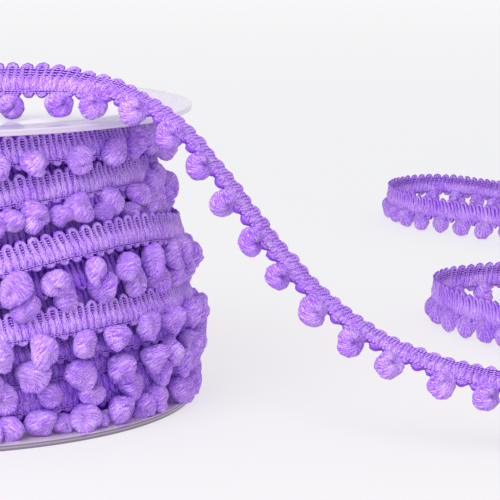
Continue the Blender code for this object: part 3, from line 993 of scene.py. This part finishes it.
def flange_outline(low, high, inner, outer, edge):
    """Closed outline of a flat ring with a rounded rim, and which of its steps are the rim."""
    points = [(inner, high), (inner, low)]
    for start, middle in ((-math.pi / 2.0, low + edge), (0.0, high - edge)):
        for i in range(EDGE_ARC_POINTS + 1):
            angle = start + math.pi / 2.0 * i / EDGE_ARC_POINTS
            points.append((outer - edge + edge * math.cos(angle), middle + edge * math.sin(angle)))
    points.append((outer - RIM_RING, high))
    return points, list(range(2, len(points) - 1))


def make_reel(colours):
    """Both flanges and the barrel, in clear plastic."""
    clear = plastic_material(
        "clear_moulded_polystyrene", colours.plastic, face_cover=0.3, low_cover=0.93)
    # Painted reflection and shade: the ledge's mauve tint stands for the yarn mirrored in it and its
    # shade seen through
    ledge = plastic_material(
        "clear_polystyrene_ledge", colours.plastic_ledge_painted_reflection, face_cover=0.4, low_cover=0.8)
    # Painted light: the pale bands of the upper rim stand for light piped through the plastic
    rim_clear = plastic_material(
        "clear_polystyrene_rim", colours.plastic, face_cover=0.75, low_cover=0.55,
        bands=((0.0, linear("#E4D9EC")), (0.7, linear("#DDD0E8")), (0.9, linear("#EDE3FC")),
               (1.0, linear("#EDE3FC"))), low=UPPER_BOX[0].z)
    # Painted shade and light: the standing rim's dark grey stands for its contact shadow and the dark
    # seen through it, its lighter bands for light piped through the plastic
    dark = colours.plastic_rim_painted_shade
    rim_grey = plastic_material(
        "clear_polystyrene_standing_rim", dark, face_cover=0.85, low_cover=0.9,
        bands=((0.0, dark), (0.30, dark), (0.46, linear("#94849F")), (0.58, linear("#A696B1")),
               (0.68, dark), (0.84, dark), (0.95, linear("#C9BCD0"))), low=LOWER_BOX[0].z)
    inner = BARREL_RADIUS - BARREL_WALL
    for name, box, finish, rim_finish in (("reel_lower_flange", LOWER_BOX, ledge, rim_grey),
                                          ("reel_upper_flange", UPPER_BOX, clear, rim_clear)):
        outline, rim = flange_outline(box[0].z, box[1].z, inner, FLANGE_RADIUS, RIM_ROUNDING)
        mesh = turned_mesh(name, outline, rim)
        add_piece("clear_" + name, mesh, finish, (name,))
        mesh.materials.append(rim_finish)
    low, high = BARREL_BOX[0].z, BARREL_BOX[1].z
    outline = ((inner, high), (inner, low), (BARREL_RADIUS, low), (BARREL_RADIUS, high))
    add_piece("clear_reel_barrel", turned_mesh("reel_barrel", outline), clear,
              ("reel_barrel",))


def winding_route(sizes):
    """The route of all the wound turns, one after another, in mm."""
    repeat = SCALLOPS_PER_POMPOM * mm(sizes.scallop_pitch)
    total = len(TURNS) * POMPOMS_PER_TURN * repeat
    along = np.linspace(0.0, total, int(total / STATION_STEP) + 1)
    number = along / repeat
    current = np.minimum((number // POMPOMS_PER_TURN).astype(int), len(TURNS) - 1)
    following = np.minimum(current + 1, len(TURNS) - 1)
    left = (current + 1) * POMPOMS_PER_TURN - number
    crossing = smooth_step(1.0 - left / CROSSOVER)
    table = np.array([(turn.top, turn.radius, turn.wave, turn.bulge, first_shift(turn.pompom_at))
                      for turn in TURNS])
    values = table[current] + crossing[:, None] * (table[following] - table[current])
    top, radius, wave_share, bulge_share, shift = values.T
    leaving = crossing * (current == len(TURNS) - 1)
    staying = 1.0 - leaving
    radius = radius + leaving * (LEAVING_RADIUS - radius)
    top = top + leaving * (LEAVING_TOP - top)
    angle = WINDING_START + 2.0 * math.pi * (number / POMPOMS_PER_TURN) + shift * staying
    wave = sum(height * np.cos(count * (angle - WAVE_CREST)) for height, count in WAVES) - WAVE_DROP
    top = top + staying * (wave_share * wave + wander(along, *TOP_STRAY, TOP_SEED))
    radius = radius + bulge_share * BULGE * np.maximum(0.0, np.cos(angle)) ** BULGE_SHARPNESS
    radius = radius + staying * wander(along, *RADIUS_STRAY, RADIUS_SEED)
    out = np.stack([np.cos(angle), np.sin(angle), np.zeros_like(angle)], axis=-1)
    vertical = np.zeros_like(out)
    vertical[:, 2] = 1.0
    middle = radius[:, None] * out
    middle[:, 2] = top - HEADING_WIDTH / 2.0
    middle[:, 0] += mm(AXIS.x)
    middle[:, 1] += mm(AXIS.y)
    ahead = unit_rows(np.gradient(middle, axis=0))
    square = unit_rows(vertical - ahead[:, 2:] * ahead)
    up = math.cos(TURN_LEAN) * square - math.sin(TURN_LEAN) * out
    return Route(along, middle, up, np.cross(ahead, up), vertical, out)


def first_shift(angle):
    """Turn in radians that puts a pompom at an angle, from where they fall by themselves."""
    step = 2.0 * math.pi / POMPOMS_PER_TURN
    miss = math.radians(angle) - WINDING_START - step / 2.0
    return miss - step * round(miss / step)


def make_core(yarn):
    """The inner turns under the outer ones, seen edge on from above and below."""
    inner = mm(BARREL_RADIUS) + CORE_GAP
    breadth = CORE_RADIUS - inner
    count = int(breadth / CORE_TURN)
    outline = []
    for face, sign in ((CORE_LOW, -1), (CORE_HIGH, 1)):
        ridges = []
        for i in range(count):
            start = inner + i * breadth / count
            ridges.append((start * MM, (face - sign * CORE_RIDGE) * MM))
            ridges.append(((start + 0.5 * breadth / count) * MM, face * MM))
        outline += ridges[::-sign]
    mesh = turned_mesh("inner_turns", outline, steps=CORE_STEPS)
    # The material passed in is the dark ground: painted shade on the inner turns
    add_piece("inner_turns", mesh, yarn)


def make_winding(sizes, colours):
    """The wound trim, turn by turn."""
    outer = yarn_material("wound_acrylic_roving", colours, HEADING_FIBRES)
    # A darker copy of the yarn, as painted shade on the turns behind the pompoms
    shaded = yarn_material("shade_painted_wound_acrylic_roving", colours, SHADED_FIBRES)
    fluff = yarn_material("fluffed_acrylic_roving", colours, WOUND_POMPOM_FIBRES)
    thread = thread_material(colours, mm(sizes.scallop_pitch))
    ground = ground_material(colours)
    # The inner turns take the ground's dark material, as painted shade under the outer turns
    make_core(ground)
    route = winding_route(sizes)
    length = POMPOMS_PER_TURN * SCALLOPS_PER_POMPOM * mm(sizes.scallop_pitch)
    for number, turn in enumerate(TURNS):
        first = number * POMPOMS_PER_TURN
        last = first + POMPOMS_PER_TURN
        scallops = (SCALLOPS_PER_POMPOM * first, SCALLOPS_PER_POMPOM * last)
        seed = TURN_SEED + number
        add_trim(turn.name + "_ground", weave_ground(route, number * length, length), ground)
        yarn = weave_yarn(route, *scallops, sizes, seed, WOUND_LEAN, turn.skip)
        add_trim(turn.name + "_yarn", yarn, outer if turn.name in OUTER_TURNS else shaded,
                 ("wound_trim",) if number == 0 else ())
        if turn.name.startswith("turn_"):
            chains = weave_chains(route, *scallops, sizes, seed, WOUND_LEAN, True)
            add_trim(turn.name + "_chains", chains, thread)
        if turn.has_pompoms:
            pompoms = weave_pompoms(
                route, first, last, sizes, TURN_POMPOM_SEED + number, turn.pompom_depth,
                turn.pompom_out, WOUND_POMPOM, TURN_NUDGES.get(turn.name, {}),
                POMPOM_FINENESS if turn.skip == 1 else UNDER_FINENESS)
            add_trim(turn.name + "_pompoms", pompoms, fluff)


def loose_route():
    """The loose end's route, in mm."""
    standing = [(x, y, STANDING_HEIGHT, 0.0) for x, y in LOOSE_END_ON_THE_TABLE]
    table = np.array([*LOOSE_END_IN_THE_AIR, *standing])
    chords = np.linalg.norm(np.diff(table[:, :3], axis=0), axis=1)
    knots = np.concatenate(([0.0], np.cumsum(chords)))
    slopes = np.gradient(table, knots, axis=0)
    fine = np.linspace(0.0, knots[-1], ROUTE_SAMPLES_PER_POINT * len(table))
    span = np.clip(np.searchsorted(knots, fine, side="right") - 1, 0, len(knots) - 2)
    width = (knots[span + 1] - knots[span])[:, None]
    t = (fine - knots[span])[:, None] / width
    curve = (
        (2.0 * t**3 - 3.0 * t**2 + 1.0) * table[span]
        + (t**3 - 2.0 * t**2 + t) * width * slopes[span]
        + (3.0 * t**2 - 2.0 * t**3) * table[span + 1]
        + (t**3 - t**2) * width * slopes[span + 1]
    )
    lengths = path_run(curve[:, :3])
    along = np.arange(0.0, lengths[-1], STATION_STEP)
    places = np.stack([np.interp(along, lengths, column) for column in curve.T], axis=1)
    ahead = unit_rows(np.gradient(places[:, :3], axis=0))
    vertical = np.array((0.0, 0.0, 1.0))
    upright = unit_rows(vertical - ahead[:, 2:] * ahead)
    level = unit_rows(np.cross(vertical, ahead))
    directions = []
    for share in (1.0, POMPOM_LEAN_SHARE):
        lean = np.radians(places[:, 3:4]) * share
        up = np.cos(lean) * upright + np.sin(lean) * level
        directions += [up, np.cross(ahead, up)]
    middle = places[:, :3] + np.array((mm(AXIS.x), mm(AXIS.y), 0.0))
    return Route(along, middle, *directions)


def make_loose_end(sizes, colours):
    """The loose end: its ground, yarn, chain threads and pompoms."""
    roving = yarn_material("loose_acrylic_roving", colours, LOOSE_HEADING_FIBRES)
    fluff = yarn_material("loose_fluffed_acrylic_roving", colours, LOOSE_POMPOM_FIBRES)
    thread = thread_material(colours, mm(sizes.scallop_pitch))
    route = loose_route()
    scallops = SCALLOPS_PER_POMPOM * LOOSE_END_POMPOMS
    length = scallops * mm(sizes.scallop_pitch)
    ground = add_trim("loose_heading_ground", weave_ground(route, 0.0, length),
                      ground_material(colours), ("loose_end",))
    yarns = add_trim("loose_heading_yarn", weave_yarn(
        route, 0, scallops, sizes, LOOSE_SEED, LOOSE_LEAN, fullness=LOOSE_FULLNESS), roving)
    chains = add_trim("loose_heading_chains", weave_chains(
        route, 0, scallops, sizes, LOOSE_SEED, LOOSE_LEAN, False), thread)
    nudges = {number: LOOSE_NUDGES.get(number, LOOSE_NUDGE)
              for number in range(LOOSE_END_POMPOMS)}
    balls = add_trim("loose_pompoms", weave_pompoms(
        route, 0, LOOSE_END_POMPOMS, sizes, LOOSE_POMPOM_SEED, POMPOM_DEPTH, 0.0, LOOSE_POMPOM,
        nudges), fluff)


def add_stage_face(name, corners, material):
    """One flat face of the stage, which isn't part of the object."""
    mesh = bpy.data.meshes.new(name)
    mesh.from_pydata(corners, [], [(0, 1, 2, 3)])
    mesh.materials.append(material)
    add_object(name, mesh)


def make_stage(light, colours):
    """Paper floor, soft light and the camera."""
    scene = bpy.context.scene
    scene.view_settings.view_transform = "Standard"
    half = FLOOR_HALF
    add_stage_face("floor", (
        (-half, -half, 0.0), (half, -half, 0.0), (half, half, 0.0), (-half, half, 0.0)),
        paper_material(colours, light.floor_glow))
    add_stage_face("backdrop", (
        (-half, BACKDROP_PLACE, 0.0), (half, BACKDROP_PLACE, 0.0),
        (half, BACKDROP_PLACE, half / 2.0), (-half, BACKDROP_PLACE, half / 2.0)),
        backdrop_material(light.backdrop))
    world = bpy.data.worlds.new("studio")
    world.use_nodes = True
    background = world.node_tree.nodes["Background"]
    background.inputs["Color"].default_value = (1.0, 1.0, 1.0, 1.0)
    background.inputs["Strength"].default_value = light.sky
    scene.world = world
    lamp = bpy.data.lights.new("key", "AREA")
    lamp.shape = "DISK"
    aim = AXIS - Vector(KEY_PLACE)
    lamp.size = 2.0 * aim.length * math.tan(light.key_spread / 2.0)
    lamp.energy = light.key * math.pi * aim.length ** 2
    key = add_object("key", lamp)
    key.location = KEY_PLACE
    key.rotation_euler = aim.to_track_quat("-Z", "Y").to_euler()
    data = bpy.data.cameras.new("camera")
    data.lens = CAMERA_LENS
    data.sensor_width = CAMERA_SENSOR
    data.clip_start, data.clip_end = CAMERA_CLIP
    camera = add_object("camera", data)
    camera.location = CAMERA_PLACE
    camera.rotation_euler = (CAMERA_PITCH, 0.0, 0.0)
    scene.camera = camera


# Operators ------------------------------------------------------------------------------------


class AddStage(bpy.types.Operator):
    """Add the paper floor, the soft light and the camera"""

    bl_idname = "pompom_trim.add_stage"
    bl_label = "Add Stage"
    bl_options = {"REGISTER", "UNDO"}

    def execute(self, context):
        make_stage(context.scene.trim_light, context.scene.trim_colours)
        return {"FINISHED"}


class AddReel(bpy.types.Operator):
    """Add the clear reel's flanges and barrel"""

    bl_idname = "pompom_trim.add_reel"
    bl_label = "Add Reel"
    bl_options = {"REGISTER", "UNDO"}

    def execute(self, context):
        make_reel(context.scene.trim_colours)
        return {"FINISHED"}


class AddWinding(bpy.types.Operator):
    """Add the trim wound on the reel"""

    bl_idname = "pompom_trim.add_winding"
    bl_label = "Add Wound Trim"
    bl_options = {"REGISTER", "UNDO"}

    def execute(self, context):
        make_winding(context.scene.trim_sizes, context.scene.trim_colours)
        return {"FINISHED"}


class AddLooseEnd(bpy.types.Operator):
    """Add the loose end of the trim"""

    bl_idname = "pompom_trim.add_loose_end"
    bl_label = "Add Loose End"
    bl_options = {"REGISTER", "UNDO"}

    def execute(self, context):
        make_loose_end(context.scene.trim_sizes, context.scene.trim_colours)
        return {"FINISHED"}


class TrimPanel(bpy.types.Panel):
    """Buttons and values of the pompom trim"""

    bl_idname = "VIEW3D_PT_pompom_trim"
    bl_label = "Pompom Trim"
    bl_space_type = "VIEW_3D"
    bl_region_type = "UI"
    bl_category = "Pompom Trim"

    def draw(self, context):
        layout = self.layout
        for operator in OPERATORS:
            layout.operator(operator.bl_idname)
        for name in PROPERTY_GROUPS:
            group = getattr(context.scene, name)
            for key in group.bl_rna.properties.keys():
                if key not in ("rna_type", "name"):
                    layout.prop(group, key)


OPERATORS = (AddStage, AddReel, AddWinding, AddLooseEnd)
PROPERTY_GROUPS = {"trim_sizes": TrimSizes, "trim_colours": TrimColours, "trim_light": StageLight}


def register():
    for kind in (*PROPERTY_GROUPS.values(), *OPERATORS, TrimPanel):
        bpy.utils.register_class(kind)
    for name, group in PROPERTY_GROUPS.items():
        setattr(bpy.types.Scene, name, bpy.props.PointerProperty(type=group))


def unregister():
    for name in PROPERTY_GROUPS:
        delattr(bpy.types.Scene, name)
    for kind in (TrimPanel, *reversed(OPERATORS), *reversed(list(PROPERTY_GROUPS.values()))):
        bpy.utils.unregister_class(kind)


def main():
    register()
    bpy.ops.pompom_trim.add_stage()
    bpy.ops.pompom_trim.add_reel()
    bpy.ops.pompom_trim.add_winding()
    bpy.ops.pompom_trim.add_loose_end()


if __name__ == "__main__":
    main()
